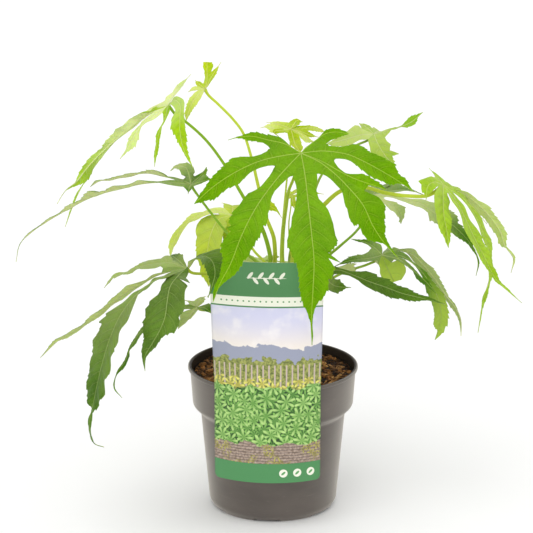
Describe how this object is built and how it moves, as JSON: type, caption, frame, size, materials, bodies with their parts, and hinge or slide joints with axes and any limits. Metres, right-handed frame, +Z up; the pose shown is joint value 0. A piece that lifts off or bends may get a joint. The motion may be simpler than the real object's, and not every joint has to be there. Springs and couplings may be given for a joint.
{
  "type": "potted fatsia japonica plant",
  "caption": "Potted fatsia japonica: deeply cut, finger-like evergreen leaves on long stalks above a round nursery pot, with a tall picture label hung on the rim.",
  "frame": {"origin": "middle of the pot's foot, on the ground", "axes": "+Z up along the pot's axis, +X to the right and -Y towards the side that carries the label"},
  "size_m": [0.4987, 0.3179, 0.4405],
  "materials": {
    "pot_plastic": "smooth moulded taupe grey plastic, satin",
    "potting_soil": "coarse brown peat and bark, matt",
    "label_card": "printed plastic card in green, cream and leaf colours, satin",
    "label_hook": "plain white plastic, satin",
    "stem_bark": "green-brown young bark with leaf scars, matt",
    "petiole_green": "smooth yellow-green leaf stalk, satin",
    "blade_fresh": "fresh bright green, satin",
    "blade_young": "young yellow-green, satin",
    "blade_spring": "bright yellow-green with a pale underside, satin",
    "blade_light": "light green, satin",
    "blade_pale": "pale green with a matt underside",
    "blade_grey": "grey-green with a matt underside",
    "blade_dark": "deep green, slightly glossy"
  },
  "bodies": {
    "root": {"pot": "pot_plastic", "soil": "potting_soil", "label": "label_card", "label_hook": "label_hook", "stem": "stem_bark", "blade_front": "blade_fresh", "blade_crown": "blade_young", "blade_high_right": "blade_pale", "blade_bright_right": "blade_light", "blade_grey_right": "blade_grey", "blade_low_right": "blade_grey", "blade_dark_right": "blade_dark", "blade_high_left": "blade_young", "blade_far_left": "blade_spring", "blade_long_left": "blade_grey", "blade_pale_left": "blade_young", "blade_low_left": "blade_dark", "blade_small_left": "blade_grey", "blade_back": "blade_pale", "blade_bud": "blade_young", "petiole_front": "petiole_green", "petiole_crown": "petiole_green", "petiole_high_right": "petiole_green", "petiole_bright_right": "petiole_green", "petiole_grey_right": "petiole_green", "petiole_low_right": "petiole_green", "petiole_dark_right": "petiole_green", "petiole_high_left": "petiole_green", "petiole_far_left": "petiole_green", "petiole_long_left": "petiole_green", "petiole_pale_left": "petiole_green", "petiole_low_left": "petiole_green", "petiole_small_left": "petiole_green", "petiole_back": "petiole_green", "petiole_bud": "petiole_green"}
  },
  "joints": []
}
